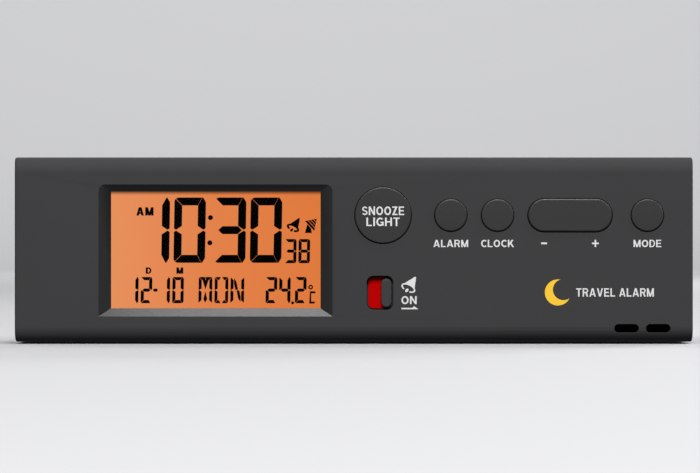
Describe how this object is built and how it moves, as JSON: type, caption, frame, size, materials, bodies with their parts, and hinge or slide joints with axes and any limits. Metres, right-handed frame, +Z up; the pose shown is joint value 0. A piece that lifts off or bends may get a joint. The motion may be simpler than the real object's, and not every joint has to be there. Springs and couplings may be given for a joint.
{
  "type": "digital travel alarm clock",
  "caption": "Bar-shaped digital travel alarm clock with an amber backlit display, push keys, an alarm slide switch and a hinged battery door.",
  "frame": {"origin": "on the ground under the middle of the clock, at the feet's undersides", "axes": "+X to the right seen from the front, +Y from the front to the back, +Z up"},
  "size_m": [0.13, 0.0264, 0.0358],
  "materials": {
    "shell": "fine moulded texture, dark grey",
    "key": "satin, dark grey",
    "knob": "satin, mid grey",
    "indicator_red": "satin red",
    "foot_rubber": "matt black",
    "silicone": "matt translucent white",
    "carbon": "matt black",
    "lens": "clear polished acrylic",
    "lcd_amber": "back-lit amber film",
    "lcd_glass": "clear polished glass",
    "light_guide": "clear acrylic",
    "holder_white": "satin white",
    "circuit_board": "green solder mask",
    "steel": "bright nickel plating",
    "screw_steel": "plated",
    "brass": "bright",
    "piezo_ceramic": "matt off-white, silvered",
    "ferrite": "matt sintered grey",
    "copper": "enamelled copper",
    "chip_black": "matt black",
    "cell_jacket": "printed film, plain dark blue",
    "wire_red": "satin",
    "wire_black": "satin",
    "print_white": "white pad-printed ink of the key labels",
    "print_amber": "amber pad-printed ink",
    "lcd_segment": "dark liquid-crystal segments"
  },
  "bodies": {
    "clock_case": {"front_case": "shell", "rear_case": "shell", "front_left_foot": "foot_rubber", "front_right_foot": "foot_rubber", "rear_left_foot": "foot_rubber", "rear_right_foot": "foot_rubber", "window_lens": "lens", "lcd_front_polarizer": "lcd_amber", "lcd_front_glass": "lcd_glass", "lcd_rear_glass": "lcd_glass", "lcd_rear_polarizer": "lcd_amber", "zebra_strip": "silicone", "light_guide": "light_guide", "reflector_film": "holder_white", "backlight_led": "holder_white", "lcd_holder": "holder_white", "rubber_keypad": "silicone", "slide_switch_body": "steel", "main_board": "circuit_board", "processor_blob": "chip_black", "quartz_crystal": "steel", "receiver_chip": "chip_black", "thermometer_bead": "chip_black", "piezo_disc": "brass", "piezo_ceramic": "piezo_ceramic", "ferrite_rod": "ferrite", "aerial_coil": "copper", "lower_cell": "cell_jacket", "upper_cell": "cell_jacket", "battery_link_plate": "steel", "battery_link_spring": "steel", "battery_negative_contact": "steel", "battery_negative_spring": "steel", "battery_positive_contact": "steel", "case_screw_1": "screw_steel", "case_screw_2": "screw_steel", "case_screw_3": "screw_steel", "case_screw_4": "screw_steel", "board_screw_1": "screw_steel", "board_screw_2": "screw_steel", "board_screw_3": "screw_steel", "battery_wire_black": "wire_black", "battery_wire_red": "wire_red", "piezo_wire": "wire_red", "aerial_wire": "copper"},
    "snooze_button": {"snooze_key": "key", "snooze_carbon_pill": "carbon"},
    "alarm_button": {"alarm_key": "key", "alarm_carbon_pill": "carbon"},
    "clock_button": {"clock_key": "key", "clock_carbon_pill": "carbon"},
    "mode_button": {"mode_key": "key", "mode_carbon_pill": "carbon"},
    "rocker": {"minus_plus_key": "key", "minus_carbon_pill": "carbon", "plus_carbon_pill": "carbon"},
    "alarm_slider": {"alarm_knob": "knob", "alarm_indicator_plate": "indicator_red", "slide_switch_lever": "chip_black"},
    "door": {"battery_door": "shell"}
  },
  "joints": [
    {"name": "snooze_press", "type": "slide", "parent": "clock_case", "child": "snooze_button", "axis": [0, 1, 0], "range_m": [0, 0.0006], "stiffness_N_per_m": 200, "springref_m": -0.001, "deforming": ["rubber_keypad"]},
    {"name": "alarm_press", "type": "slide", "parent": "clock_case", "child": "alarm_button", "axis": [0, 1, 0], "range_m": [0, 0.0006], "stiffness_N_per_m": 200, "springref_m": -0.001, "deforming": ["rubber_keypad"]},
    {"name": "clock_press", "type": "slide", "parent": "clock_case", "child": "clock_button", "axis": [0, 1, 0], "range_m": [0, 0.0006], "stiffness_N_per_m": 200, "springref_m": -0.001, "deforming": ["rubber_keypad"]},
    {"name": "mode_press", "type": "slide", "parent": "clock_case", "child": "mode_button", "axis": [0, 1, 0], "range_m": [0, 0.0006], "stiffness_N_per_m": 200, "springref_m": -0.001, "deforming": ["rubber_keypad"]},
    {"name": "minus_plus_rock", "type": "hinge", "parent": "clock_case", "child": "rocker", "pos_m": [0.04144, -0.01185, 0.02472], "axis": [0, 0, 1], "range_deg": [-4, 4], "stiffness_Nm_per_rad": 0.012, "deforming": ["rubber_keypad"]},
    {"name": "alarm_switch_slide", "type": "slide", "parent": "clock_case", "child": "alarm_slider", "axis": [1, 0, 0], "range_m": [-0.0023, 0]},
    {"name": "battery_door_hinge", "type": "hinge", "parent": "clock_case", "child": "door", "pos_m": [-0.02955, 0.0123, 0.00685], "axis": [-1, 0, 0], "range_deg": [0, 80]}
  ]
}
